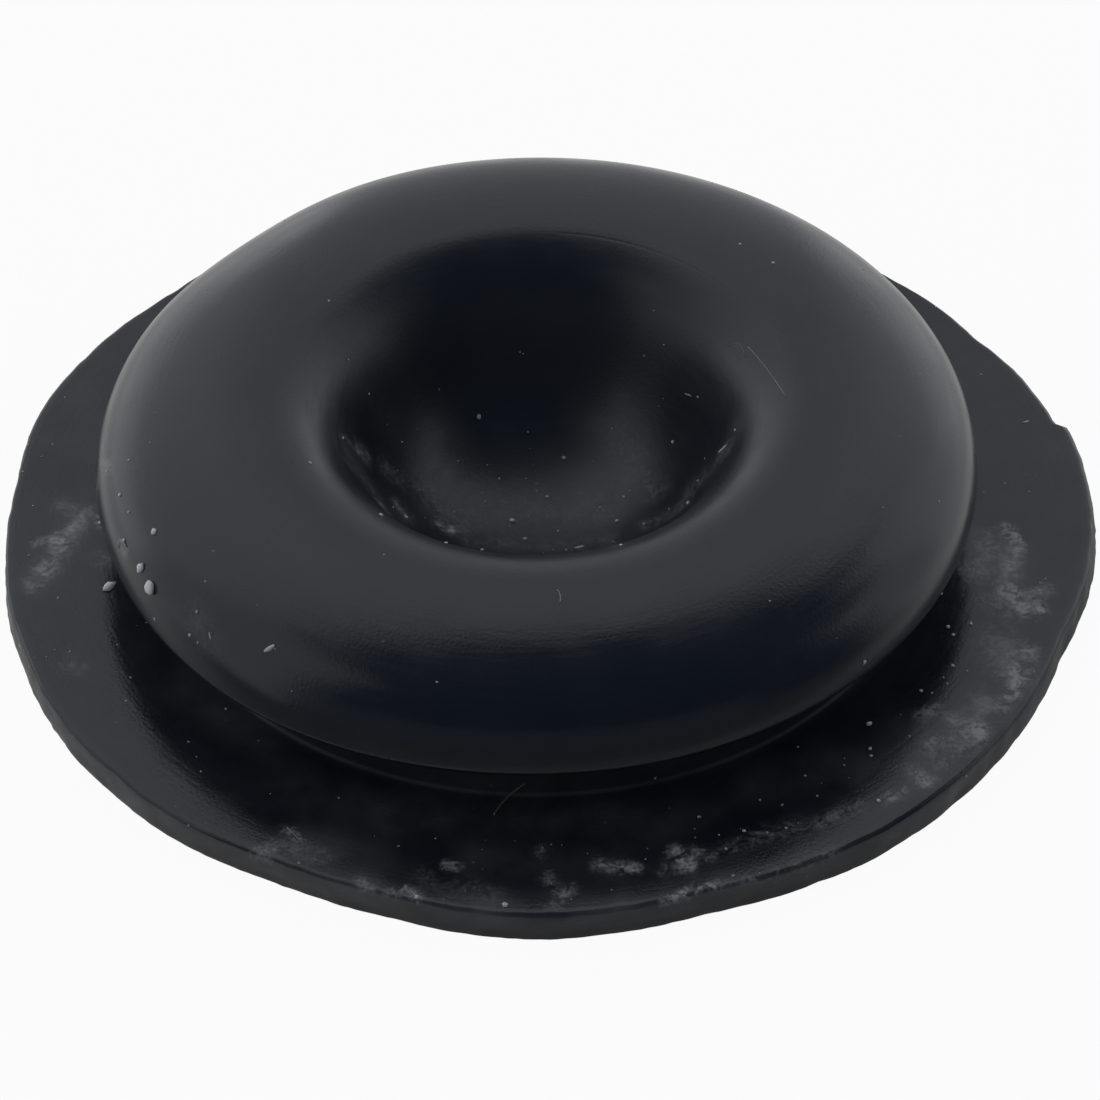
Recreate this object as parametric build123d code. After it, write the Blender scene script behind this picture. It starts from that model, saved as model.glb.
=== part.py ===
from build123d import *
import os
from math import cos, radians

# Rubber body plug, moulded in one piece, that snaps into a round hole in sheet metal.
# It lies on its flat flange: the axis is Z, the underside is at Z = 0, and the retaining bead with its
# bowl-shaped recess points up. Lengths are in millimetres and angles in degrees, from +X towards +Y.

# Neck and groove, which hold the edge of the sheet
panel_hole_diameter = 20.0
neck_squeeze = 0.2
panel_thickness = 1.0
groove_clearance = 0.2
groove_root_chamfer = 0.25

# Flange, which covers the edge of the hole
flange_overhang = 4.15
flange_root_thickness = 1.1
flange_edge_thickness = 0.8
flange_edge_draft = 0.1
flange_edge_chamfer = 0.1

# Retaining bead: a sloping underside, a narrow lip and a full, rounded crown
bead_overhang = 1.35
underside_rise = 0.65
lip_chamfer = 0.1
lip_wall_height = 0.2
crown_height = 2.05
crown_lean = 0.2
crest_setback = 4.25
crown_side_share = 0.62
crown_top_share = 0.65

# Recess: a deep bowl with a rolled rim, above a thin web
web_thickness = 0.5
rim_roll_share = 0.48
bowl_floor_share = 0.78

# Hand-trimmed edge of the flange: shallow straight cuts, each at an angle and with its share of the depth
trim_depth = 0.42
trim_angles_and_depth_shares = (
    (33, 0.33),
    (47, 0.72),
    (136, 0.88),
    (148, 0.35),
    (176, 0.58),
    (186, 0.5),
    (199, 0.48),
    (209, 0.33),
    (221, 0.43),
    (233, 0.55),
    (243, 0.93),
    (251, 0.88),
    (261, 0.4),
    (277, 0.32),
    (287, 0.6),
    (296, 0.3),
)

# Tail that the trimming left standing: a low crescent of the edge, and a longer one with a blunt end
tail_thickness = 0.7
tail_root_reach = 0.36
tail_root_angle = 6
tail_root_half_angle = 24
tail_reach = 0.62
tail_angle = 9
tail_half_angle = 28
tail_end_angle = 13.5

cut_overrun = 1.0

# Radii and heights that follow from the sizes above
neck_radius = (panel_hole_diameter + neck_squeeze) / 2
flange_radius = neck_radius + flange_overhang
bead_radius = neck_radius + bead_overhang
crest_radius = bead_radius - crest_setback
groove_roof_height = flange_root_thickness + panel_thickness + groove_clearance
lip_height = groove_roof_height + underside_rise
crown_start_height = lip_height + lip_wall_height
plug_height = crown_start_height + crown_height


def plug_profile():
    """Half section of the plug, from the middle of the underside to the middle of the recess."""
    edge_top_radius = flange_radius - flange_edge_draft
    lower_part = Polyline(
        (0, 0),
        (flange_radius, 0),
        (edge_top_radius, flange_edge_thickness - flange_edge_chamfer),
        (edge_top_radius - flange_edge_chamfer, flange_edge_thickness),
        (neck_radius + groove_root_chamfer, flange_root_thickness),
        (neck_radius, flange_root_thickness + groove_root_chamfer),
        (neck_radius, groove_roof_height),
        (bead_radius - lip_chamfer, lip_height - lip_chamfer * underside_rise / bead_overhang),
        (bead_radius, lip_height + lip_chamfer),
        (bead_radius, crown_start_height),
    )
    crown = Bezier(
        (bead_radius, crown_start_height),
        (bead_radius - crown_lean, crown_start_height + crown_height * crown_side_share),
        (crest_radius + crest_setback * crown_top_share, plug_height),
        (crest_radius, plug_height),
    )
    recess = Bezier(
        (crest_radius, plug_height),
        (crest_radius - crest_radius * rim_roll_share, plug_height),
        (crest_radius * bowl_floor_share, web_thickness),
        (0, web_thickness),
    )
    axis_line = Line((0, web_thickness), (0, 0))
    return Plane.XZ * make_face([lower_part, crown, recess, axis_line])


def trim_cut(angle, depth_share):
    """Block that takes one straight cut off the flange's edge."""
    cut = Box(
        trim_depth + cut_overrun,
        2 * flange_radius,
        2 * flange_root_thickness,
        align=(Align.MIN, Align.CENTER, Align.CENTER),
    )
    return Rot(0, 0, angle) * Pos(flange_radius - trim_depth * depth_share, 0, 0) * cut


def edge_crescent(reach, angle, half_angle):
    """Disc set off centre, so that it stands out of the flange's edge as a crescent, and open inside the neck."""
    off_centre = (reach**2 + 2 * flange_radius * reach) / (
        2 * (flange_radius * (1 - cos(radians(half_angle))) + reach)
    )
    disc_radius = flange_radius + reach - off_centre
    disc = Cylinder(disc_radius, tail_thickness, align=(Align.CENTER, Align.CENTER, Align.MIN))
    placed_disc = Rot(0, 0, angle) * Pos(off_centre, 0, 0) * disc
    return placed_disc - Cylinder(neck_radius, 2 * (tail_thickness + cut_overrun))


def edge_tail():
    """The longer crescent, cut short at its blunt end."""
    crescent = edge_crescent(tail_reach, tail_angle, tail_half_angle)
    beyond_the_end = Box(
        flange_radius + tail_reach + cut_overrun,
        flange_radius + tail_reach + cut_overrun,
        2 * (tail_thickness + cut_overrun),
        align=(Align.MIN, Align.MIN, Align.CENTER),
    )
    return crescent - Rot(0, 0, tail_end_angle) * beyond_the_end


def plug():
    """The whole plug as one solid."""
    body = revolve(plug_profile(), Axis.Z)
    for angle, depth_share in trim_angles_and_depth_shares:
        body -= trim_cut(angle, depth_share)
    body += edge_crescent(tail_root_reach, tail_root_angle, tail_root_half_angle)
    return body + edge_tail()


os.makedirs("parts", exist_ok=True)
export_step(plug(), "parts/plug_body.step")
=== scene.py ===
import math
import random

import bmesh
import bpy
from mathutils import Matrix, Vector, noise
from mathutils.bvhtree import BVHTree
from mathutils.geometry import interpolate_bezier, intersect_point_line
from mathutils.kdtree import KDTree


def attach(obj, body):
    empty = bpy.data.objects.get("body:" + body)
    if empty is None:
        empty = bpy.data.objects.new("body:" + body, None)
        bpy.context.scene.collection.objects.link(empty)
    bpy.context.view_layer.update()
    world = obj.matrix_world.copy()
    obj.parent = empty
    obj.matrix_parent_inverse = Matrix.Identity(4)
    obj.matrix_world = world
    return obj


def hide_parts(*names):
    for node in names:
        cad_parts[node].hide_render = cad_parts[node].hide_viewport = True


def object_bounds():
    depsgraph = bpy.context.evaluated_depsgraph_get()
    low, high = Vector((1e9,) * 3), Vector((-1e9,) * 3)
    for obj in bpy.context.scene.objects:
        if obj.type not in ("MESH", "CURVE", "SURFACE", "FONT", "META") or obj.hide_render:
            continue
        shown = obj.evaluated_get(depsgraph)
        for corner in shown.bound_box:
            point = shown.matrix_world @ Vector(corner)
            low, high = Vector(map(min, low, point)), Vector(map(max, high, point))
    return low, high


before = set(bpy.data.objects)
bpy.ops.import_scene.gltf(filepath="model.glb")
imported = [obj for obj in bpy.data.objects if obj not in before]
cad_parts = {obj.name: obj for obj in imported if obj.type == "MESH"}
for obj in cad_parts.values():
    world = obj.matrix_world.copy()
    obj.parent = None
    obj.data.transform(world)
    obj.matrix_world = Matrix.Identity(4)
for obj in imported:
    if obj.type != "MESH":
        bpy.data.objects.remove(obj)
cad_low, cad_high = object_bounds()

# Black rubber body plug lying on its flange. Lengths are in millimetres until a mesh is made.
MM = 0.001
MICROMETRE = 0.001 * MM

# Plug sizes, as in the part's source
PLUG_HEIGHT = cad_high.z / MM
NECK_RADIUS = 10.1
FLANGE_RADIUS = 14.25
FLANGE_ROOT_THICKNESS = 1.1
FLANGE_EDGE_THICKNESS = 0.8
FLANGE_EDGE_DRAFT = 0.1
BEAD_RADIUS = 11.45
GROOVE_ROOF_HEIGHT = 2.3
CROWN_START_HEIGHT = 3.15
CREST_RADIUS = 7.2
WEB_THICKNESS = 0.5
CROWN_LEAN = 0.2
CROWN_SIDE_SHARE = 0.62
CROWN_TOP_SHARE = 0.65
RIM_ROLL_SHARE = 0.48
BOWL_FLOOR_SHARE = 0.78

# Where the looks differ from the part's source: a flat flange, and a lower lip under a wall that leans in
FLANGE_NECK_THICKNESS = 0.78
LIP_HEIGHT = 2.85
LIP_WALL_LEAN = 0.04

# Corner roundings, as the reach along each side of the corner
FLANGE_BOTTOM_ROUNDING = 0.05
FLANGE_TOP_ROUNDING = 0.1
GROOVE_ROOT_ROUNDING = 0.1
GROOVE_ROOF_ROUNDING = 0.15
LIP_ROUNDING = 0.13
CORNER_POINTS = 6
BEZIER_ROUND_SHARE = 0.55

# Hand-trimmed edge: angle from +X and depth share of each straight cut, then the two crescents of the tail
TRIM_DEPTH = 0.42
TRIM_ANGLES_AND_DEPTH_SHARES = (
    (33, 0.33), (47, 0.72), (136, 0.88), (148, 0.35), (176, 0.58), (186, 0.5), (199, 0.48), (209, 0.33),
    (221, 0.43), (233, 0.55), (243, 0.93), (251, 0.88), (261, 0.4), (277, 0.32), (287, 0.6), (296, 0.3),
)
TRIM_HALF_ANGLE = 60
TRIM_CORNER_SPREAD = (-3, -1.5, 0, 1.5, 3)
TAIL_REACH = 0.62
TAIL_ANGLE = 9
TAIL_HALF_ANGLE = 28
TAIL_END_ANGLE = 13.5
TAIL_END_BLUNTNESS = 1.0
TAIL_ROOT_REACH = 0.36
TAIL_ROOT_ANGLE = 6
TAIL_ROOT_HALF_ANGLE = 24
TRIM_START_RADIUS = 12.2
RAGGEDNESS = 0.05
RAGGED_LENGTH = 0.9
RAGGED_FADE = 1.0
RAGGED_STEP = 2.0
RAGGED_OCTAVES = 3

# Slow waves of the moulded crown, and the flat that the crown has at its back left
CROWN_WAVE = 0.03
CROWN_WAVE_LENGTH = 4.5
CROWN_FLAT_DEPTH = 0.2
CROWN_FLAT_ANGLE = 137
CROWN_FLAT_SPREAD = 15
CROWN_FLAT_FULL_SHARE = 0.6

# Flare of the bead's lip at its front left, which fades out up the crown
LIP_FLARE = 0.14
LIP_FLARE_ANGLE = 232
LIP_FLARE_SPREAD = 22
LIP_FLARE_TOP = 4.3

# Mould line around the inner side of the crown, at the back right
MOULD_LINE_RADIUS = 6.5
MOULD_LINE_ANGLE = 47
MOULD_LINE_HALF_ANGLE = 36
MOULD_LINE_FADE = 0.2

# Dull moulded skin of the neck and the foot of the groove: radius where it ends and width of its fading
GROOVE_SKIN_RADIUS = 10.45
GROOVE_SKIN_FADE = 0.3

# Mesh fineness
SPIN_STEPS = 440
CURVE_POINTS = 44
LONGEST_PROFILE_STEP = 0.15
LONGEST_UNDERSIDE_STEP = 2.0
UNDERSIDE_TOLERANCE = 0.001
MERGE_DISTANCE = 0.0001
SHARP_ANGLE = 40

# Photograph: a square frame, with the middle of the plug's underside at this pixel
FRAME_PIXELS = 1100
BASE_CENTRE_PIXEL = (537.4, 537.6)
FOCAL_PIXELS = 4228
VIEW_DISTANCE = 112
VIEW_ELEVATION = 43.15
VIEW_ROLL = 0.58
SENSOR_WIDTH = 36
NEAREST_SEEN = 1

# Dust film: how thickly each part of the plug is covered
FLANGE_FILM = 0.02
FLANGE_EDGE_FILM = 0.045
FLANGE_EDGE_SLOPE = 0.97
RECESS_FILM = 0.02
CROWN_FILM = 0.004

# Dust hazes, thin and even; those in the shade under the bead's lip are painted light too, lifting that
# shade: first and last pixel, width in millimetres, strength
DUST_AND_PAINTED_LIGHT_HAZES = (
    (420, 812, 660, 815, 0.8, 0.09), (300, 785, 400, 815, 0.7, 0.07), (690, 800, 830, 765, 0.8, 0.07),
    (180, 680, 260, 745, 0.6, 0.07), (300, 835, 380, 862, 0.6, 0.07), (860, 770, 900, 730, 0.6, 0.05),
    (330, 880, 480, 905, 0.4, 0.05), (480, 905, 620, 903, 0.4, 0.08), (620, 903, 760, 875, 0.4, 0.03),
    (480, 858, 610, 860, 0.6, 0.07), (985, 545, 980, 570, 0.4, 0.1), (1012, 550, 1009, 600, 0.35, 0.14),
    (1005, 645, 1015, 680, 0.4, 0.14), (985, 705, 965, 735, 0.4, 0.1), (935, 720, 915, 770, 0.4, 0.08),
    (284, 845, 322, 856, 0.4, 0.03), (40, 580, 80, 520, 0.35, 0.1), (99, 470, 106, 555, 0.3, 0.05),
    (350, 455, 395, 515, 0.5, 0.04), (680, 505, 700, 480, 0.4, 0.05), (715, 470, 735, 430, 0.4, 0.05),
    (670, 860, 720, 880, 0.5, 0.06), (470, 545, 620, 545, 0.16, 0.06), (890, 800, 930, 780, 0.3, 0.08),
)

# Distance from its line, in widths, up to which a haze or a smudge is laid
STROKE_REACH = 2.5

# Dust smudges: first and last pixel, width in millimetres, strength
SMUDGES = (
    # Right of the flange
    (1007, 529, 1018, 545, 0.16, 0.75), (1012, 552, 1009, 575, 0.22, 0.4), (985, 540, 975, 572, 0.38, 0.24),
    (1001, 586, 1005, 595, 0.14, 0.8), (1010, 588, 1024, 611, 0.16, 0.95), (1038, 603, 1041, 611, 0.14, 0.7),
    (1024, 598, 1046, 590, 0.18, 0.35), (990, 600, 1012, 612, 0.3, 0.18), (1028, 652, 1020, 668, 0.24, 0.42),
    (1018, 676, 1010, 694, 0.17, 0.85), (1007, 703, 1001, 708, 0.12, 0.5), (995, 640, 1012, 675, 0.5, 0.2),
    (978, 728, 981, 735, 0.15, 0.75), (985, 705, 965, 740, 0.45, 0.2), (922, 716, 938, 709, 0.16, 0.4),
    (948, 716, 956, 722, 0.16, 0.45), (930, 740, 925, 748, 0.18, 0.3), (958, 738, 940, 760, 0.4, 0.16),
    # Front right
    (914, 768, 922, 776, 0.2, 0.5), (889, 797, 905, 792, 0.12, 0.8), (923, 785, 932, 782, 0.12, 0.4),
    (820, 822, 860, 806, 0.2, 0.18), (674, 850, 681, 856, 0.13, 0.95), (684, 858, 690, 866, 0.14, 1.0),
    (694, 853, 706, 856, 0.16, 0.6), (668, 868, 680, 864, 0.2, 0.3), (668, 899, 690, 891, 0.11, 0.95),
    (692, 890, 713, 885, 0.13, 0.6), (720, 884, 764, 876, 0.13, 0.2), (722, 851, 756, 838, 0.2, 0.14),
    (764, 835, 800, 826, 0.25, 0.16), (598, 865, 634, 868, 0.15, 0.6), (776, 872, 830, 852, 0.22, 0.13),
    # Front left
    (541, 850, 542, 856, 0.13, 0.3), (546, 876, 551, 881, 0.11, 0.4), (561, 893, 570, 890, 0.15, 0.42),
    (549, 906, 557, 906, 0.12, 0.3), (446, 864, 455, 867, 0.13, 0.5), (408, 888, 419, 899, 0.11, 0.7),
    (391, 892, 398, 893, 0.11, 0.5), (360, 881, 369, 888, 0.13, 0.4), (287, 828, 300, 841, 0.06, 0.75),
    (284, 845, 322, 856, 0.35, 0.13), (262, 850, 270, 852, 0.25, 0.25), (420, 875, 490, 893, 0.35, 0.06),
    # Left of the flange and of the bead
    (33, 586, 46, 566, 0.24, 0.26), (44, 570, 66, 540, 0.26, 0.28), (62, 545, 88, 512, 0.24, 0.2),
    (34, 547, 40, 541, 0.1, 0.4), (50, 540, 58, 537, 0.1, 0.5), (66, 533, 84, 516, 0.1, 0.4),
    (62, 505, 72, 512, 0.25, 0.12), (70, 664, 80, 668, 0.22, 0.12), (100, 462, 109, 468, 0.14, 0.35),
    (98, 480, 104, 560, 0.3, 0.1), (99, 518, 101, 526, 0.1, 0.5), (120, 545, 126, 552, 0.12, 0.4),
    (190, 612, 210, 640, 0.35, 0.04),
    # Walls and floor of the recess
    (342, 436, 348, 440, 0.14, 0.1), (358, 450, 366, 456, 0.25, 0.16), (350, 462, 372, 492, 0.4, 0.07),
    (376, 500, 384, 508, 0.25, 0.14), (398, 506, 405, 515, 0.25, 0.16), (385, 470, 395, 478, 0.3, 0.12),
    (442, 524, 450, 529, 0.17, 0.8), (420, 485, 470, 525, 0.45, 0.08), (500, 505, 600, 510, 0.6, 0.08),
    (620, 440, 655, 490, 0.45, 0.08), (690, 490, 725, 455, 0.35, 0.07), (640, 526, 690, 500, 0.25, 0.1),
    (720, 454, 728, 444, 0.14, 0.14), (470, 538, 610, 540, 0.25, 0.1),
)

# Single grains of dust: pixel and size in millimetres
GRAINS = (
    # Left
    (151, 588, 0.38), (141, 568, 0.25), (154, 532, 0.18), (124, 541, 0.14), (100, 523, 0.12),
    (120, 495, 0.11), (129, 512, 0.07), (129, 460, 0.06), (20, 646, 0.08), (197, 612, 0.08),
    (190, 635, 0.09), (198, 643, 0.06), (155, 619, 0.08), (226, 709, 0.08), (126, 701, 0.06),
    (58, 598, 0.06), (33, 506, 0.05), (117, 645, 0.05), (107, 471, 0.07), (329, 301, 0.07),
    (310, 463, 0.08), (348, 360, 0.06),
    # Recess
    (479, 417, 0.14), (520, 352, 0.06), (564, 458, 0.12), (673, 442, 0.1), (688, 503, 0.1),
    (512, 521, 0.16), (525, 539, 0.11), (617, 521, 0.12), (624, 497, 0.09), (644, 524, 0.08),
    (547, 497, 0.1), (537, 491, 0.06), (499, 479, 0.08), (482, 550, 0.1), (446, 543, 0.09),
    (406, 517, 0.11), (381, 515, 0.1), (454, 512, 0.07), (621, 545, 0.08), (384, 555, 0.06),
    (343, 438, 0.07), (369, 394, 0.06), (402, 442, 0.07), (528, 432, 0.06), (600, 508, 0.07),
    (558, 531, 0.07), (698, 481, 0.07), (735, 430, 0.07), (566, 550, 0.07), (644, 356, 0.06),
    (664, 345, 0.06), (654, 311, 0.05), (698, 397, 0.07),
    # Crown and flange at the right
    (773, 263, 0.08), (740, 244, 0.07), (864, 662, 0.11), (869, 724, 0.14), (870, 749, 0.1),
    (871, 756, 0.08), (878, 801, 0.11), (948, 627, 0.11), (953, 635, 0.09), (971, 624, 0.1),
    (953, 666, 0.1), (921, 691, 0.1), (932, 693, 0.06), (947, 684, 0.06), (941, 594, 0.08),
    (966, 776, 0.07), (798, 747, 0.06), (805, 776, 0.07),
    # Front of the flange
    (760, 800, 0.07), (782, 805, 0.07), (817, 796, 0.06), (699, 817, 0.08), (744, 831, 0.1),
    (786, 828, 0.07), (726, 849, 0.08), (733, 876, 0.07), (655, 778, 0.07), (719, 835, 0.06),
    (633, 871, 0.07), (505, 905, 0.16), (417, 897, 0.12), (339, 798, 0.06), (299, 863, 0.07),
)

# Long grains: first and last pixel, and width in millimetres
LONG_GRAINS = (
    (104, 592, 115, 582, 0.26), (263, 652, 276, 645, 0.13), (717, 454, 727, 445, 0.07),
    (574, 549, 585, 546, 0.1), (1022, 423, 1030, 421, 0.07), (684, 393, 693, 397, 0.05),
    (209, 631, 211, 640, 0.05),
)

# Shape of the grains: shares for height and lift, ranges for unevenness and stretch, tilt and fineness
GRAIN_FLATNESS = 0.5
GRAIN_UNEVENNESS = (0.72, 1.08)
GRAIN_LIFT = 0.25
GRAIN_TILT = 0.1
GRAIN_STRETCH = (1, 1.3)
GRAIN_FINENESS = 2

# Lint: first, middle and last pixel, radius and lift of the middle in millimetres, and which lint colour
LINT = (
    (748, 347, 766, 368, 786, 397, 0.009, 0.0, 0), (729, 346, 739, 344, 745, 357, 0.007, 0.0, 0),
    (494, 815, 508, 799, 525, 783, 0.023, 0.06, 1), (557, 590, 560, 595, 560, 603, 0.012, 0.0, 0),
    (155, 619, 146, 623, 137, 626, 0.012, 0.0, 0), (119, 548, 122, 541, 127, 547, 0.014, 0.03, 0),
    (287, 828, 292, 833, 300, 841, 0.014, 0.02, 0),
)
LINT_SIDES = 6
LINT_RINGS = 14

# Room that dust and lint keep below the plug's highest place
HEADROOM = 0.005

# Fine dust strewn over the upper sides: count, inner and outer radius, and height that the grains stay under
STREWN_DUST = ((130, 11.7, 14.0, 1.2), (60, 0.0, 4.4, 4.0), (26, 8.6, 11.2, 5.0))
STREWN_SIZES = (0.025, 0.06)
STREWN_STRETCH = (1, 1.8)
STREWN_FINENESS = 1
DUST_SEED = 7


def camera_matrix():
    """Place and turn of the camera: in front of the plug, looking down at the middle of its underside."""
    elevation = math.radians(VIEW_ELEVATION)
    back = Vector((0, -math.cos(elevation), math.sin(elevation)))
    turn = (-back).to_track_quat("-Z", "Y").to_matrix().to_4x4()
    roll = Matrix.Rotation(math.radians(-VIEW_ROLL), 4, "Z")
    return Matrix.Translation(back * VIEW_DISTANCE * MM) @ turn @ roll


def add_camera():
    data = bpy.data.cameras.new("camera")
    data.sensor_width = SENSOR_WIDTH
    data.lens = SENSOR_WIDTH * FOCAL_PIXELS / FRAME_PIXELS
    data.shift_x = 0.5 - BASE_CENTRE_PIXEL[0] / FRAME_PIXELS
    data.shift_y = BASE_CENTRE_PIXEL[1] / FRAME_PIXELS - 0.5
    data.clip_start = NEAREST_SEEN * MM
    camera = bpy.data.objects.new("camera", data)
    camera.matrix_world = camera_matrix()
    bpy.context.scene.collection.objects.link(camera)
    bpy.context.scene.camera = camera


def surface_at(plug_tree, x, y):
    """Point and normal of the plug's surface that a pixel of the photograph shows, in millimetres."""
    place = camera_matrix()
    across = (x - BASE_CENTRE_PIXEL[0]) / FOCAL_PIXELS
    down = (y - BASE_CENTRE_PIXEL[1]) / FOCAL_PIXELS
    direction = place.to_3x3() @ Vector((across, -down, -1))
    point, normal, _, _ = plug_tree.ray_cast(place.translation / MM, direction)
    return point, normal


def profile_point(radius, height):
    return Vector((radius, 0, height))


def rounded_corner(before, corner, after, reach):
    """Points of a small rounding, from one side of a corner to the other."""
    start = corner + (before - corner).normalized() * reach
    end = corner + (after - corner).normalized() * reach
    first_handle = start.lerp(corner, BEZIER_ROUND_SHARE)
    last_handle = end.lerp(corner, BEZIER_ROUND_SHARE)
    return interpolate_bezier(start, first_handle, last_handle, end, CORNER_POINTS)


def plug_outline():
    """Half section of the plug, from the middle of its underside to the middle of the recess."""
    corners = (
        (profile_point(0, 0), 0),
        (profile_point(FLANGE_RADIUS, 0), FLANGE_BOTTOM_ROUNDING),
        (profile_point(FLANGE_RADIUS - FLANGE_EDGE_DRAFT, FLANGE_EDGE_THICKNESS), FLANGE_TOP_ROUNDING),
        (profile_point(NECK_RADIUS, FLANGE_NECK_THICKNESS), GROOVE_ROOT_ROUNDING),
        (profile_point(NECK_RADIUS, GROOVE_ROOF_HEIGHT), GROOVE_ROOF_ROUNDING),
        (profile_point(BEAD_RADIUS, LIP_HEIGHT), LIP_ROUNDING),
        (profile_point(BEAD_RADIUS - LIP_WALL_LEAN, CROWN_START_HEIGHT), 0),
    )
    points = [corners[0][0]]
    for (before, _), (corner, reach), (after, _) in zip(corners, corners[1:], corners[2:]):
        points += rounded_corner(before, corner, after, reach)
    crown_height = PLUG_HEIGHT - CROWN_START_HEIGHT
    crest_setback = BEAD_RADIUS - CREST_RADIUS
    points += interpolate_bezier(
        profile_point(BEAD_RADIUS - LIP_WALL_LEAN, CROWN_START_HEIGHT),
        profile_point(BEAD_RADIUS - CROWN_LEAN, CROWN_START_HEIGHT + crown_height * CROWN_SIDE_SHARE),
        profile_point(CREST_RADIUS + crest_setback * CROWN_TOP_SHARE, PLUG_HEIGHT),
        profile_point(CREST_RADIUS, PLUG_HEIGHT),
        CURVE_POINTS,
    )
    recess = interpolate_bezier(
        profile_point(CREST_RADIUS, PLUG_HEIGHT),
        profile_point(CREST_RADIUS - CREST_RADIUS * RIM_ROLL_SHARE, PLUG_HEIGHT),
        profile_point(CREST_RADIUS * BOWL_FLOOR_SHARE, WEB_THICKNESS),
        profile_point(0, WEB_THICKNESS),
        CURVE_POINTS,
    )
    return points + recess[1:]


def spun_plug():
    """The plug's outline spun about its axis, in millimetres."""
    bm = bmesh.new()
    chain = [bm.verts.new(point) for point in plug_outline()]
    edges = [bm.edges.new(pair) for pair in zip(chain, chain[1:])]
    for edge in edges:
        underside = max(vert.co.z for vert in edge.verts) < UNDERSIDE_TOLERANCE
        longest = LONGEST_UNDERSIDE_STEP if underside else LONGEST_PROFILE_STEP
        cuts = int(edge.calc_length() / longest)
        if cuts:
            bmesh.ops.subdivide_edges(bm, edges=[edge], cuts=cuts)
    bmesh.ops.spin(
        bm, geom=bm.verts[:] + bm.edges[:], cent=(0, 0, 0), axis=(0, 0, 1),
        angle=2 * math.pi, steps=SPIN_STEPS, use_merge=True,
    )
    bmesh.ops.remove_doubles(bm, verts=bm.verts, dist=MERGE_DISTANCE)
    bmesh.ops.recalc_face_normals(bm, faces=bm.faces)
    return bm


def angle_between(angle, other):
    """Smallest turn from one angle to another, in degrees, with its sign."""
    return (angle - other + 180) % 360 - 180


def angle_of(place):
    return math.degrees(math.atan2(place.y, place.x))


def cut_setback(angle):
    """How far inside the round edge the straight cuts lie at an angle."""
    setback = 0
    for trim_angle, depth_share in TRIM_ANGLES_AND_DEPTH_SHARES:
        turn = math.radians(angle_between(angle, trim_angle))
        if abs(turn) < math.radians(TRIM_HALF_ANGLE):
            chord = (FLANGE_RADIUS - TRIM_DEPTH * depth_share) / math.cos(turn)
            setback = max(setback, FLANGE_RADIUS - chord)
    return setback


def trim_setback(angle):
    """The cuts with their corners worn round."""
    return sum(cut_setback(angle + spread) for spread in TRIM_CORNER_SPREAD) / len(TRIM_CORNER_SPREAD)


def crescent_reach(angle, reach, middle_angle, half_angle):
    """How far a disc set off centre stands out of the round edge at an angle."""
    turn = math.radians(angle_between(angle, middle_angle))
    half = math.radians(half_angle)
    if abs(turn) > half:
        return 0
    off_centre = (reach**2 + 2 * FLANGE_RADIUS * reach) / (
        2 * (FLANGE_RADIUS * (1 - math.cos(half)) + reach)
    )
    disc_radius = FLANGE_RADIUS + reach - off_centre
    across = math.sqrt(disc_radius**2 - (off_centre * math.sin(turn)) ** 2)
    return off_centre * math.cos(turn) + across - FLANGE_RADIUS


def tail_stand_out(angle):
    """How far the untrimmed tail stands out of the round edge at an angle."""
    root = crescent_reach(angle, TAIL_ROOT_REACH, TAIL_ROOT_ANGLE, TAIL_ROOT_HALF_ANGLE)
    tail = crescent_reach(angle, TAIL_REACH, TAIL_ANGLE, TAIL_HALF_ANGLE)
    past_end = angle_between(angle, TAIL_END_ANGLE)
    end_share = min(max(0.5 - past_end / TAIL_END_BLUNTNESS, 0), 1)
    return root + max(tail - root, 0) * end_share


def shape_flange_edge(bm):
    """Moves the flange's edge in to its ragged cuts and out to its tail."""
    for vert in bm.verts:
        radius = vert.co.xy.length
        if radius < TRIM_START_RADIUS or vert.co.z > FLANGE_ROOT_THICKNESS:
            continue
        angle = angle_of(vert.co)
        weight = ((radius - TRIM_START_RADIUS) / (FLANGE_RADIUS - TRIM_START_RADIUS)) ** 2
        bumps = noise.fractal(vert.co / RAGGED_LENGTH, RAGGED_FADE, RAGGED_STEP, RAGGED_OCTAVES)
        ragged = RAGGEDNESS * abs(bumps)
        wanted = radius + weight * (tail_stand_out(angle) - trim_setback(angle) - ragged)
        vert.co.xy *= wanted / radius


def flatten_crown(bm):
    """Draws the outer side of the crown in a little around one angle, where the moulding sags."""
    full_setback = CROWN_FLAT_FULL_SHARE * (BEAD_RADIUS - CREST_RADIUS)
    for vert in bm.verts:
        radius = vert.co.xy.length
        if vert.co.z < LIP_HEIGHT or radius < CREST_RADIUS:
            continue
        turn = angle_between(angle_of(vert.co), CROWN_FLAT_ANGLE)
        outer_share = min((radius - CREST_RADIUS) / full_setback, 1)
        draw_in = CROWN_FLAT_DEPTH * outer_share**2 * math.exp(-((turn / CROWN_FLAT_SPREAD) ** 2))
        vert.co.xy *= (radius - draw_in) / radius


def flare_lip(bm):
    """Draws the bead's lip out a little around one angle."""
    for vert in bm.verts:
        radius = vert.co.xy.length
        if radius < NECK_RADIUS or vert.co.z < GROOVE_ROOF_HEIGHT:
            continue
        turn = angle_between(angle_of(vert.co), LIP_FLARE_ANGLE)
        outer_share = min((radius - NECK_RADIUS) / (BEAD_RADIUS - NECK_RADIUS), 1)
        low_share = min(max((LIP_FLARE_TOP - vert.co.z) / (LIP_FLARE_TOP - LIP_HEIGHT), 0), 1)
        draw_out = LIP_FLARE * outer_share * low_share**2 * math.exp(-((turn / LIP_FLARE_SPREAD) ** 2))
        vert.co.xy *= (radius + draw_out) / radius


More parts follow.
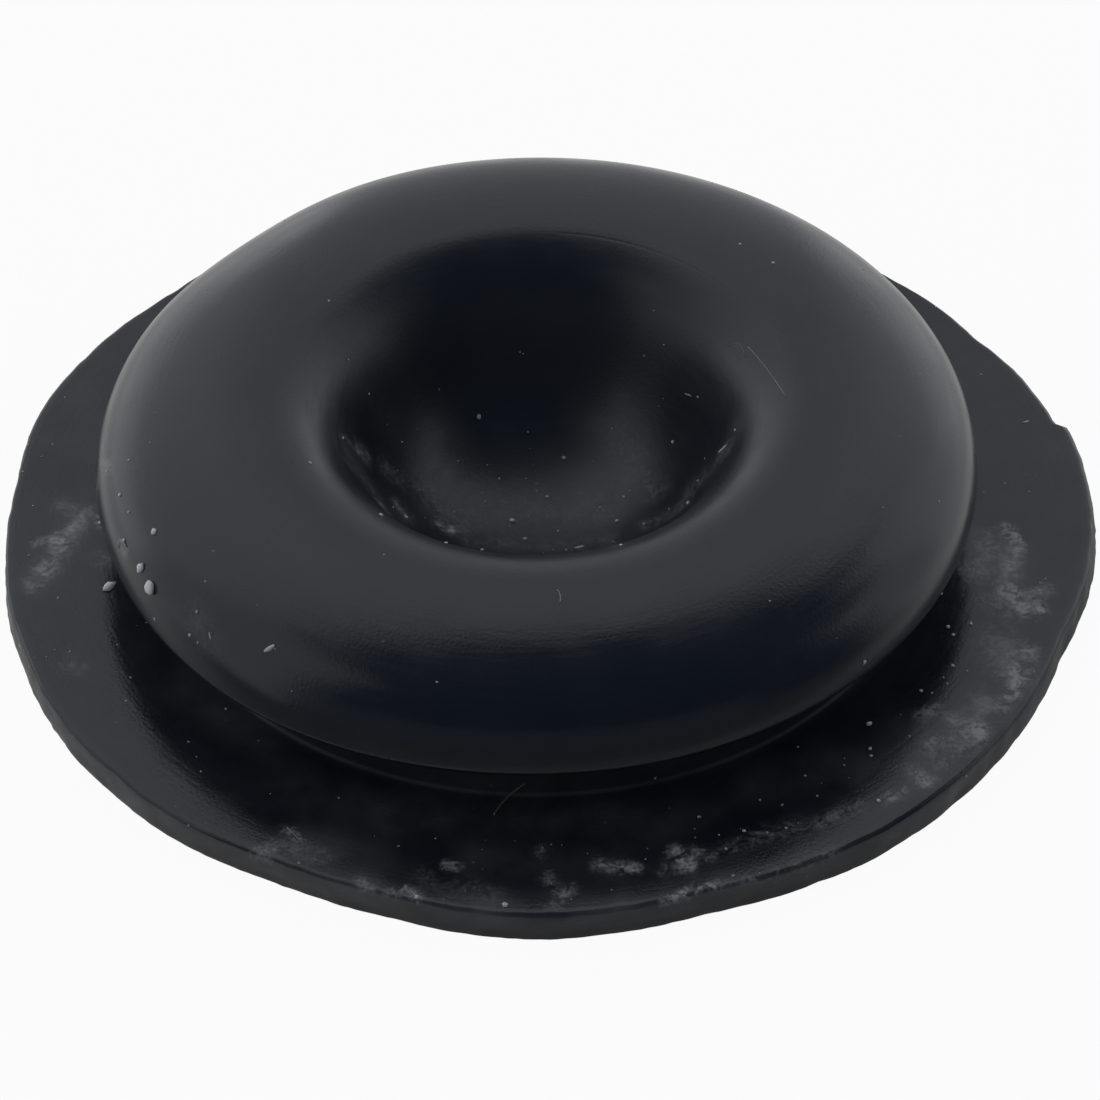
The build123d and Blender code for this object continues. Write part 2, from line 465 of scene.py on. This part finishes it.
def wave_crown(bm):
    """Lowers the crown and the recess by slow waves, as moulded rubber has them."""
    for vert in bm.verts:
        outside = vert.co.xy.length > CREST_RADIUS
        if vert.co.z < (LIP_HEIGHT if outside else WEB_THICKNESS / 2):
            continue
        wave = 0.5 + 0.5 * noise.noise(vert.co / CROWN_WAVE_LENGTH)
        vert.co.z -= CROWN_WAVE * wave


def film_thickness(vert):
    """Even film of dust on the sides that face up."""
    radius = vert.co.xy.length
    if vert.co.z < WEB_THICKNESS / 2 or vert.normal.z < 0:
        return 0
    if vert.co.z < FLANGE_ROOT_THICKNESS and radius > NECK_RADIUS:
        at_edge = vert.normal.z < FLANGE_EDGE_SLOPE
        return FLANGE_EDGE_FILM if at_edge else FLANGE_FILM
    if radius < CREST_RADIUS:
        depth_share = (PLUG_HEIGHT - vert.co.z) / (PLUG_HEIGHT - WEB_THICKNESS)
        return CROWN_FILM + RECESS_FILM * depth_share * vert.normal.z
    return CROWN_FILM


def lay_strokes(bm, plug_tree, near_places, layer, strokes):
    """Adds soft strokes of dust, each along the line between two places on the surface; where hazes lie in
    the shade under the bead's lip, the strokes are painted light as well.
    """
    for first_x, first_y, last_x, last_y, width, strength in strokes:
        first, _ = surface_at(plug_tree, first_x, first_y)
        last, _ = surface_at(plug_tree, last_x, last_y)
        reach = (last - first).length / 2 + STROKE_REACH * width
        for _, index, _ in near_places.find_range(first.lerp(last, 0.5), reach):
            vert = bm.verts[index]
            _, share = intersect_point_line(vert.co, first, last)
            nearest = first.lerp(last, min(max(share, 0), 1))
            away = (vert.co - nearest).length / width
            vert[layer] += strength * math.exp(-(away**2))


def lay_dust(bm, plug_tree):
    """Writes how thickly each vertex is dusted: an even film with hazes, and patchy smudges; the hazes in
    the shade under the bead's lip are painted light as well as dust.
    """
    dust_and_light_film = bm.verts.layers.float.new("dust_and_painted_light_film")
    smudged = bm.verts.layers.float.new("dust_smudges")
    near_places = KDTree(len(bm.verts))
    for index, vert in enumerate(bm.verts):
        near_places.insert(vert.co, index)
        vert[dust_and_light_film] = film_thickness(vert)
    near_places.balance()
    bm.verts.ensure_lookup_table()
    # Hazes: dust, and in the shade under the bead's lip also painted light that lifts that shade
    lay_strokes(bm, plug_tree, near_places, dust_and_light_film, DUST_AND_PAINTED_LIGHT_HAZES)
    lay_strokes(bm, plug_tree, near_places, smudged, SMUDGES)


def draw_mould_line(bm):
    """Marks the side of the crown where the mould line shows, fading out towards the line's two ends."""
    marked = bm.verts.layers.float.new("mould_line")
    for vert in bm.verts:
        turn = abs(angle_between(angle_of(vert.co), MOULD_LINE_ANGLE)) / MOULD_LINE_HALF_ANGLE
        if vert.co.z > LIP_HEIGHT:
            vert[marked] = min(max((1 - turn) / MOULD_LINE_FADE + 0.5, 0), 1)


def mark_groove(bm):
    """Marks the neck and the foot of the groove, fading out along the flange."""
    marked = bm.verts.layers.float.new("groove")
    for vert in bm.verts:
        radius = vert.co.xy.length
        if radius > CREST_RADIUS and WEB_THICKNESS < vert.co.z < GROOVE_ROOF_HEIGHT:
            vert[marked] = min(max((GROOVE_SKIN_RADIUS - radius) / GROOVE_SKIN_FADE, 0), 1)


def add_mesh(name, bm, *materials):
    """A mesh object at the origin, scaled from millimetres to metres in its vertices."""
    bmesh.ops.scale(bm, vec=(MM, MM, MM), verts=bm.verts)
    mesh = bpy.data.meshes.new(name)
    bm.to_mesh(mesh)
    bm.free()
    for material in materials:
        mesh.materials.append(material)
    piece = bpy.data.objects.new(name, mesh)
    bpy.context.scene.collection.objects.link(piece)
    return piece


def new_material(name):
    """A node material with its shader and the piece's own coordinates."""
    material = bpy.data.materials.new(name)
    material.use_nodes = True
    tree = material.node_tree
    place = tree.nodes.new("ShaderNodeTexCoord").outputs["Object"]
    return material, tree, tree.nodes["Principled BSDF"], place


def set_or_link(tree, socket, value):
    if isinstance(value, bpy.types.NodeSocket):
        tree.links.new(value, socket)
    else:
        socket.default_value = value


def calculate(tree, operation, first, second):
    node = tree.nodes.new("ShaderNodeMath")
    node.operation = operation
    set_or_link(tree, node.inputs[0], first)
    set_or_link(tree, node.inputs[1], second)
    return node.outputs[0]


def ranged(tree, value, low, high, to_low, to_high):
    """A value taken from one range to another, and kept inside it."""
    node = tree.nodes.new("ShaderNodeMapRange")
    tree.links.new(value, node.inputs["Value"])
    node.inputs["From Min"].default_value = low
    node.inputs["From Max"].default_value = high
    node.inputs["To Min"].default_value = to_low
    node.inputs["To Max"].default_value = to_high
    return node.outputs[0]


def cloudy(tree, place, size, detail, twist=0):
    """Soft noise with clouds about this many millimetres wide, drawn out to wisps where it is twisted."""
    node = tree.nodes.new("ShaderNodeTexNoise")
    node.inputs["Scale"].default_value = 1 / (size * MM)
    node.inputs["Detail"].default_value = detail
    node.inputs["Distortion"].default_value = twist
    tree.links.new(place, node.inputs["Vector"])
    return node.outputs["Fac"]


def blend(tree, share, first, second):
    """A mix of two colours; the node's colour sockets are the ones with these numbers."""
    node = tree.nodes.new("ShaderNodeMix")
    node.data_type = "RGBA"
    tree.links.new(share, node.inputs["Factor"])
    set_or_link(tree, node.inputs[6], first)
    set_or_link(tree, node.inputs[7], second)
    return node.outputs[2]


def named_value(tree, name):
    node = tree.nodes.new("ShaderNodeAttribute")
    node.attribute_name = name
    return node.outputs["Fac"]


def distance_from_axis(tree, place):
    """Distance of a place from the plug's axis, and the direction it lies in."""
    flat = tree.nodes.new("ShaderNodeVectorMath")
    flat.operation = "MULTIPLY"
    flat.inputs[1].default_value = (1, 1, 0)
    tree.links.new(place, flat.inputs[0])
    length = tree.nodes.new("ShaderNodeVectorMath")
    length.operation = "LENGTH"
    tree.links.new(flat.outputs[0], length.inputs[0])
    direction = tree.nodes.new("ShaderNodeVectorMath")
    direction.operation = "NORMALIZE"
    tree.links.new(flat.outputs[0], direction.inputs[0])
    return length.outputs["Value"], direction.outputs[0]


# Patterns of the rubber and of its dust
RECESS_RADIUS = 5.8
STREAK_WIDTH = 0.11
STREAKS_AROUND = 5
MOULD_LINE_WIDTH = 0.06
CLOUD_SIZE = 1.6
RUBBER_GRAIN_SIZE = 0.09
DUST_PATCH_SIZE = 0.45
DUST_POWDER_SIZE = 0.1
DUST_THINNING_SIZE = 1.4
DUST_SPECK_SPACING = 0.5

# Contrast of the dust's patterns: lowest and highest value, and what they become
DUST_PATCH_RANGE = (0.38, 0.62, 0.1, 1.75)
DUST_POWDER_RANGE = (0.36, 0.62, 0.4, 1.5)
DUST_THINNING_RANGE = (0.35, 0.65, 0.55, 1.45)
DUST_SPECK_RANGE = (0.05, 0.1, 1, 0)
DUST_SPECK_CHOICE_RANGE = (0.62, 0.66, 0, 1)
DUST_SPECK_COVER_RANGE = (0.004, 0.12, 0, 0.45)

# Colours of the rubber's clouds, the dust film, the grains and the lint, each from dark to pale
DARK_RUBBER = (0.005, 0.0085, 0.0145, 1)
PALE_RUBBER = (0.0105, 0.0145, 0.022, 1)
# The dust colour also serves as painted light in the hazes that lie in the shade under the bead's lip
DUST_COLOUR = (0.42, 0.415, 0.405, 1)
CREAM_GRAIN = (0.9, 0.87, 0.8, 1)
WHITE_GRAIN = (0.97, 0.94, 0.88, 1)
PALE_LINT = ((0.22, 0.22, 0.21, 1), (0.4, 0.4, 0.38, 1))
TAN_LINT = ((0.1, 0.085, 0.05, 1), (0.22, 0.19, 0.11, 1))

# Sheen: roughness of the clean rubber, what is added to it and its limit, then of the grains and the lint
RUBBER_IOR = 1.5
CLOUD_ROUGHNESS_RANGE = (0.35, 0.65, 0.2, 0.27)
STREAK_ROUGHNESS_RANGE = (0.3, 0.7, -0.03, 0.03)
FLANGE_ROUGHNESS = -0.06
RECESS_ROUGHNESS = 0.14
GROOVE_ROUGHNESS = 0.45
DUST_ROUGHNESS = 0.6
MOST_ROUGHNESS = 0.9
GRAIN_ROUGHNESS = 0.85
LINT_ROUGHNESS = 0.7

# Shades of the grains and the lint, and how deep light goes into a grain
GRAIN_SHADE_SIZE = 0.4
GRAIN_SHADE_RANGE = (0.35, 0.65, 0, 1)
GRAIN_LIGHT_DEPTH = 0.3
LINT_SHADE_SIZE = 0.3

# Heights of the fine relief, in micrometres
RUBBER_GRAIN_HEIGHT = 3.5
STREAK_HEIGHT = 2.2
DUST_HEIGHT = 8.0
MOULD_LINE_DEPTH = 4.0


def ring_streaks(tree, radius, direction):
    """Fine streaks that run around the axis, as a turned mould leaves them."""
    split = tree.nodes.new("ShaderNodeSeparateXYZ")
    tree.links.new(direction, split.inputs[0])
    around = tree.nodes.new("ShaderNodeCombineXYZ")
    set_or_link(tree, around.inputs[0], calculate(tree, "MULTIPLY", radius, 1 / (STREAK_WIDTH * MM)))
    set_or_link(tree, around.inputs[1], calculate(tree, "MULTIPLY", split.outputs[0], STREAKS_AROUND))
    set_or_link(tree, around.inputs[2], calculate(tree, "MULTIPLY", split.outputs[1], STREAKS_AROUND))
    node = tree.nodes.new("ShaderNodeTexNoise")
    node.inputs["Scale"].default_value = 1
    node.inputs["Detail"].default_value = 2
    tree.links.new(around.outputs[0], node.inputs["Vector"])
    return node.outputs["Fac"]


def mould_line(tree, radius):
    """A narrow ring where the mould's two halves met, where the mesh marks it."""
    off_line = calculate(tree, "SUBTRACT", radius, MOULD_LINE_RADIUS * MM)
    away = calculate(tree, "ABSOLUTE", off_line, 0)
    ring = ranged(tree, away, 0, MOULD_LINE_WIDTH * MM, 1, 0)
    return calculate(tree, "MULTIPLY", ring, named_value(tree, "mould_line"))


def dust_cover(tree, place):
    """Share of the surface that dust hides: patchy, powdery, and with a few fine specks; in the shade under
    the bead's lip, the hazes in its film are painted light as well.
    """
    dust_and_light_film = named_value(tree, "dust_and_painted_light_film")
    patches = ranged(tree, cloudy(tree, place, DUST_PATCH_SIZE, detail=5, twist=1.2), *DUST_PATCH_RANGE)
    powder = ranged(tree, cloudy(tree, place, DUST_POWDER_SIZE, detail=3), *DUST_POWDER_RANGE)
    wisps = calculate(tree, "MULTIPLY", named_value(tree, "dust_smudges"), patches)
    smudges = calculate(tree, "MULTIPLY", wisps, powder)
    thinning = ranged(tree, cloudy(tree, place, DUST_THINNING_SIZE, detail=4), *DUST_THINNING_RANGE)
    both = calculate(tree, "ADD", calculate(tree, "MULTIPLY", dust_and_light_film, thinning), smudges)
    layer = calculate(tree, "MINIMUM", both, 1.0)
    cells = tree.nodes.new("ShaderNodeTexVoronoi")
    cells.inputs["Scale"].default_value = 1 / (DUST_SPECK_SPACING * MM)
    tree.links.new(place, cells.inputs["Vector"])
    speck = ranged(tree, cells.outputs["Distance"], *DUST_SPECK_RANGE)
    chosen = ranged(tree, cells.outputs["Color"], *DUST_SPECK_CHOICE_RANGE)
    specks = calculate(tree, "MULTIPLY", speck, chosen)
    where = ranged(tree, both, *DUST_SPECK_COVER_RANGE)
    return calculate(tree, "MAXIMUM", layer, calculate(tree, "MULTIPLY", specks, where))


def black_rubber():
    """Satin black rubber with a cloudy sheen, ring streaks, fine grain and pale dust, whose hazes in the
    shade under the bead's lip are painted light as well.
    """
    material, tree, shader, place = new_material("black_rubber")
    radius, direction = distance_from_axis(tree, place)
    clouds = cloudy(tree, place, CLOUD_SIZE, detail=4)
    grain = cloudy(tree, place, RUBBER_GRAIN_SIZE, detail=2)
    streaks = ring_streaks(tree, radius, direction)
    cover = dust_cover(tree, place)
    line = mould_line(tree, radius)

    rubber = blend(tree, clouds, DARK_RUBBER, PALE_RUBBER)
    # Dust colour over the rubber; where the hazes lie in the shade under the bead's lip it is painted light
    # too
    dusted = blend(tree, cover, rubber, DUST_COLOUR)
    tree.links.new(dusted, shader.inputs["Base Color"])

    split = tree.nodes.new("ShaderNodeSeparateXYZ")
    tree.links.new(place, split.inputs[0])
    flange_top = FLANGE_ROOT_THICKNESS * MM
    changes = (
        ranged(tree, split.outputs[2], flange_top, GROOVE_ROOF_HEIGHT * MM, FLANGE_ROUGHNESS, 0),
        ranged(tree, radius, RECESS_RADIUS * MM, CREST_RADIUS * MM, RECESS_ROUGHNESS, 0),
        calculate(tree, "MULTIPLY", named_value(tree, "groove"), GROOVE_ROUGHNESS),
        ranged(tree, streaks, *STREAK_ROUGHNESS_RANGE),
        calculate(tree, "MULTIPLY", cover, DUST_ROUGHNESS),
    )
    rough = ranged(tree, clouds, *CLOUD_ROUGHNESS_RANGE)
    for change in changes:
        rough = calculate(tree, "ADD", rough, change)
    tree.links.new(calculate(tree, "MINIMUM", rough, MOST_ROUGHNESS), shader.inputs["Roughness"])
    shader.inputs["IOR"].default_value = RUBBER_IOR

    grainy = calculate(tree, "MULTIPLY", grain, RUBBER_GRAIN_HEIGHT)
    fine = calculate(tree, "ADD", grainy, calculate(tree, "MULTIPLY", streaks, STREAK_HEIGHT))
    dusty = calculate(tree, "ADD", fine, calculate(tree, "MULTIPLY", cover, DUST_HEIGHT))
    height = calculate(tree, "SUBTRACT", dusty, calculate(tree, "MULTIPLY", line, MOULD_LINE_DEPTH))
    bump = tree.nodes.new("ShaderNodeBump")
    bump.inputs["Distance"].default_value = MICROMETRE
    tree.links.new(height, bump.inputs["Height"])
    tree.links.new(bump.outputs[0], shader.inputs["Normal"])
    return material


def pale_dust():
    """Chalky grains, some whiter than others."""
    material, tree, shader, place = new_material("pale_dust")
    shades = ranged(tree, cloudy(tree, place, GRAIN_SHADE_SIZE, detail=2), *GRAIN_SHADE_RANGE)
    tree.links.new(blend(tree, shades, CREAM_GRAIN, WHITE_GRAIN), shader.inputs["Base Color"])
    shader.inputs["Roughness"].default_value = GRAIN_ROUGHNESS
    shader.inputs["Subsurface Weight"].default_value = 1
    shader.inputs["Subsurface Radius"].default_value = (1, 1, 1)
    shader.inputs["Subsurface Scale"].default_value = GRAIN_LIGHT_DEPTH * MM
    return material


def lint_fibre(name, dark, pale):
    """Dull thread whose colour varies along its length."""
    material, tree, shader, place = new_material(name)
    shades = cloudy(tree, place, LINT_SHADE_SIZE, detail=2)
    tree.links.new(blend(tree, shades, dark, pale), shader.inputs["Base Color"])
    shader.inputs["Roughness"].default_value = LINT_ROUGHNESS
    return material


def add_plug():
    """The rubber plug itself, and the tree that finds places on its surface."""
    bm = spun_plug()
    shape_flange_edge(bm)
    flatten_crown(bm)
    wave_crown(bm)
    flare_lip(bm)
    bm.normal_update()
    plug_tree = BVHTree.FromBMesh(bm)
    lay_dust(bm, plug_tree)
    draw_mould_line(bm)
    mark_groove(bm)
    plug = add_mesh("plug", bm, black_rubber())
    plug.data.shade_smooth()
    plug.data.set_sharp_from_angle(angle=math.radians(SHARP_ANGLE))
    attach(plug, "root")
    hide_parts("plug_body")
    return plug_tree


def add_grain(bm, place, normal, along, length, width, fineness, dice):
    """One grain, uneven and a little flattened, sunk partly into the surface."""
    made = bmesh.ops.create_icosphere(bm, subdivisions=fineness, radius=0.5)
    for vert in made["verts"]:
        vert.co *= dice.uniform(*GRAIN_UNEVENNESS)
    across = normal.cross(along).normalized()
    along = across.cross(normal)
    turn = Matrix((along, across, normal)).transposed().to_4x4()
    size = Matrix.Diagonal((length, width, width * GRAIN_FLATNESS, 1))
    set_down = Matrix.Translation(place + normal * width * GRAIN_FLATNESS * GRAIN_LIFT)
    bmesh.ops.transform(bm, matrix=set_down @ turn @ size, verts=made["verts"])


def keep_below_crest(bm):
    """Presses down what would stand above the plug's highest place."""
    for vert in bm.verts:
        vert.co.z = min(vert.co.z, PLUG_HEIGHT - HEADROOM)


def lying_direction(dice):
    """A random direction that is nearly level."""
    return Vector((dice.uniform(-1, 1), dice.uniform(-1, 1), GRAIN_TILT))


def add_dust_grains(plug_tree):
    """Single grains, long grains and strewn dust, as one piece."""
    dice = random.Random(DUST_SEED)
    bm = bmesh.new()
    for x, y, size in GRAINS:
        place, normal = surface_at(plug_tree, x, y)
        along = lying_direction(dice)
        length = size * dice.uniform(*GRAIN_STRETCH)
        add_grain(bm, place, normal, along, length, size, GRAIN_FINENESS, dice)
    for first_x, first_y, last_x, last_y, width in LONG_GRAINS:
        first, normal = surface_at(plug_tree, first_x, first_y)
        last, _ = surface_at(plug_tree, last_x, last_y)
        along = last - first
        add_grain(bm, first.lerp(last, 0.5), normal, along, along.length, width, GRAIN_FINENESS, dice)
    for count, inner, outer, under in STREWN_DUST:
        for _ in range(count):
            radius = math.sqrt(dice.uniform(inner**2, outer**2))
            angle = dice.uniform(0, 2 * math.pi)
            above = Vector((radius * math.cos(angle), radius * math.sin(angle), 2 * PLUG_HEIGHT))
            size = dice.uniform(*STREWN_SIZES)
            along = lying_direction(dice)
            place, normal, _, _ = plug_tree.ray_cast(above, Vector((0, 0, -1)))
            if place and place.z < under:
                length = size * dice.uniform(*STREWN_STRETCH)
                add_grain(bm, place, normal, along, length, size, STREWN_FINENESS, dice)
    keep_below_crest(bm)
    grains = add_mesh("dust_grains", bm, pale_dust())
    grains.data.shade_smooth()
    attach(grains, "root")


def add_thread(bm, path, radius, colour_index):
    """A thin tube along a path, closed at both ends."""
    rings = []
    for before, place, after in zip([path[0]] + path[:-1], path, path[1:] + [path[-1]]):
        turn = (after - before).to_track_quat("Z", "Y").to_matrix().to_4x4()
        made = bmesh.ops.create_circle(
            bm, cap_ends=place in (path[0], path[-1]), segments=LINT_SIDES, radius=radius,
            matrix=Matrix.Translation(place) @ turn,
        )
        rings.append(made["verts"])
    for ring, next_ring in zip(rings, rings[1:]):
        edges = [edge for edge in bm.edges if edge.verts[0] in ring and edge.verts[1] in ring]
        edges += [edge for edge in bm.edges if edge.verts[0] in next_ring and edge.verts[1] in next_ring]
        made = bmesh.ops.bridge_loops(bm, edges=edges)
        for face in made["faces"]:
            face.material_index = colour_index
            face.smooth = True


def add_lint(plug_tree):
    """All threads of lint, as one piece."""
    bm = bmesh.new()
    for first_x, first_y, middle_x, middle_y, last_x, last_y, radius, lift, colour_index in LINT:
        first, first_normal = surface_at(plug_tree, first_x, first_y)
        middle, middle_normal = surface_at(plug_tree, middle_x, middle_y)
        last, last_normal = surface_at(plug_tree, last_x, last_y)
        start = first + first_normal * radius
        end = last + last_normal * radius
        bend = middle + middle_normal * (radius + lift)
        control = bend * 2 - (start + end) / 2
        path = interpolate_bezier(
            start, start.lerp(control, 2 / 3), end.lerp(control, 2 / 3), end, LINT_RINGS
        )
        add_thread(bm, path, radius, colour_index)
    bmesh.ops.recalc_face_normals(bm, faces=bm.faces)
    keep_below_crest(bm)
    pale = lint_fibre("pale_lint", *PALE_LINT)
    tan = lint_fibre("tan_lint", *TAN_LINT)
    lint = add_mesh("lint_fibres", bm, pale, tan)
    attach(lint, "root")


# Floor: size, colour, and share of plain white in what the camera sees of it
FLOOR_RADIUS = 60
FLOOR_SEGMENTS = 96
FLOOR_COLOUR = (0.8, 0.8, 0.8, 1)
FLOOR_WHITE_SHARE = 0.95

# Floor in reflections: first and last place with the brightness at each, and where its two parts meet
FOOT_BRIGHTNESS = (-13, 2, 0.62, 0.4)
FOOT_SIDE_SHADE = (10.5, 13.5, 1, 0.5)
OUTER_BRIGHTNESS = (-13, 0, 0.15, 0.8)
FOOT_END_RADIUS = 15.2
OUTER_START_RADIUS = 17


def floor_in_reflections(tree, place):
    """Brightness of the floor: by left and right at the plug's foot, and by front and back further out."""
    radius, _ = distance_from_axis(tree, place)
    split = tree.nodes.new("ShaderNodeSeparateXYZ")
    tree.links.new(place, split.inputs[0])
    left, right, at_left, at_right = FOOT_BRIGHTNESS
    ramp = ranged(tree, split.outputs[0], left * MM, right * MM, at_left, at_right)
    start, end, at_start, at_end = FOOT_SIDE_SHADE
    sideways = calculate(tree, "ABSOLUTE", split.outputs[0], 0)
    shade = ranged(tree, sideways, start * MM, end * MM, at_start, at_end)
    foot = calculate(tree, "MULTIPLY", ramp, shade)
    front, back, at_front, at_back = OUTER_BRIGHTNESS
    outer = ranged(tree, split.outputs[1], front * MM, back * MM, at_front, at_back)
    outer_share = ranged(tree, radius, FOOT_END_RADIUS * MM, OUTER_START_RADIUS * MM, 0, 1)
    gain = calculate(tree, "MULTIPLY", calculate(tree, "SUBTRACT", outer, foot), outer_share)
    return calculate(tree, "ADD", foot, gain)


def white_floor():
    """Pale floor that shows nearly white to the camera, is dimmer in reflections, and takes the shadow."""
    material, tree, shader, place = new_material("white_floor")
    tree.nodes.remove(shader)
    output = tree.nodes["Material Output"]
    paper = tree.nodes.new("ShaderNodeBsdfDiffuse")
    paper.inputs["Color"].default_value = FLOOR_COLOUR
    path = tree.nodes.new("ShaderNodeLightPath")
    glow = tree.nodes.new("ShaderNodeEmission")
    mirrored = floor_in_reflections(tree, place)
    brightness = calculate(tree, "MAXIMUM", path.outputs["Is Camera Ray"], mirrored)
    tree.links.new(brightness, glow.inputs["Strength"])
    seen = calculate(tree, "MULTIPLY", path.outputs["Is Camera Ray"], FLOOR_WHITE_SHARE)
    mix = tree.nodes.new("ShaderNodeMixShader")
    tree.links.new(calculate(tree, "MAXIMUM", seen, path.outputs["Is Glossy Ray"]), mix.inputs["Fac"])
    tree.links.new(paper.outputs[0], mix.inputs[1])
    tree.links.new(glow.outputs[0], mix.inputs[2])
    tree.links.new(mix.outputs[0], output.inputs["Surface"])
    return material


def add_floor():
    bm = bmesh.new()
    bmesh.ops.create_circle(bm, cap_ends=True, segments=FLOOR_SEGMENTS, radius=FLOOR_RADIUS)
    floor = add_mesh("floor", bm, white_floor())


# White panels: name, direction from +X, turn to each end, angle of each edge from straight up, brightness
PANELS = (
    ("right_panel", 8, -16, 10, 100, 50, 0.62),
    ("right_back_panel", 30, -12, 12, 100, 40.5, 0.88),
    ("back_right_low_panel", 58, -16, 15, 100, 66, 1.15),
    ("back_right_high_panel", 58, -16, 15, 66, 31, 0.75),
    ("back_low_panel", 88, -15, 14, 100, 44, 0.55),
    ("back_high_panel", 88, -15, 14, 44, 25.5, 0.74),
    ("back_left_low_panel", 130, -28, 33, 100, 68, 1.15),
    ("back_left_high_panel", 130, -28, 33, 68, 21, 0.78),
    ("left_panel", 182, -19, 31, 100, 29, 0.57),
    ("front_panel", 270, -50, 50, 95, 62, 0.09),
)
PANEL_DISTANCE = 220
ROOM_LIGHT = (0.06, 0.078, 0.115, 1)


def add_panel(name, azimuth, first_turn, last_turn, bottom_angle, top_angle, radiance):
    """Soft area lamp, upright and square on to the plug's axis, that fills the given angles around it."""
    outward = Vector((math.cos(math.radians(azimuth)), math.sin(math.radians(azimuth)), 0))
    along = Vector((-outward.y, outward.x, 0))
    first = PANEL_DISTANCE * math.tan(math.radians(first_turn))
    last = PANEL_DISTANCE * math.tan(math.radians(last_turn))
    bottom = PANEL_DISTANCE / math.tan(math.radians(bottom_angle))
    top = PANEL_DISTANCE / math.tan(math.radians(top_angle))
    data = bpy.data.lights.new(name, "AREA")
    data.shape = "RECTANGLE"
    data.size = (last - first) * MM
    data.size_y = (top - bottom) * MM
    data.energy = radiance * math.pi * data.size * data.size_y
    lamp = bpy.data.objects.new(name, data)
    middle = outward * PANEL_DISTANCE + along * (first + last) / 2 + Vector((0, 0, (bottom + top) / 2))
    lamp.location = middle * MM
    lamp.rotation_euler = (-outward).to_track_quat("-Z", "Y").to_euler()
    lamp.visible_camera = False
    bpy.context.scene.collection.objects.link(lamp)


def add_studio():
    """White surround for the camera, dim room light, and soft panels behind and beside the plug."""
    world = bpy.data.worlds.new("studio")
    bpy.context.scene.world = world
    world.use_nodes = True
    nodes = world.node_tree.nodes
    links = world.node_tree.links
    room = nodes["Background"]
    room.inputs["Color"].default_value = ROOM_LIGHT
    white = nodes.new("ShaderNodeBackground")
    white.inputs["Strength"].default_value = 1
    white.inputs["Color"].default_value = (1, 1, 1, 1)
    path = nodes.new("ShaderNodeLightPath")
    mix = nodes.new("ShaderNodeMixShader")
    links.new(path.outputs["Is Camera Ray"], mix.inputs["Fac"])
    links.new(room.outputs[0], mix.inputs[1])
    links.new(white.outputs[0], mix.inputs[2])
    links.new(mix.outputs[0], nodes["World Output"].inputs["Surface"])
    for panel in PANELS:
        add_panel(*panel)


bpy.context.scene.view_settings.view_transform = "Standard"
add_camera()
plug_surface = add_plug()
add_dust_grains(plug_surface)
add_lint(plug_surface)
add_floor()
add_studio()
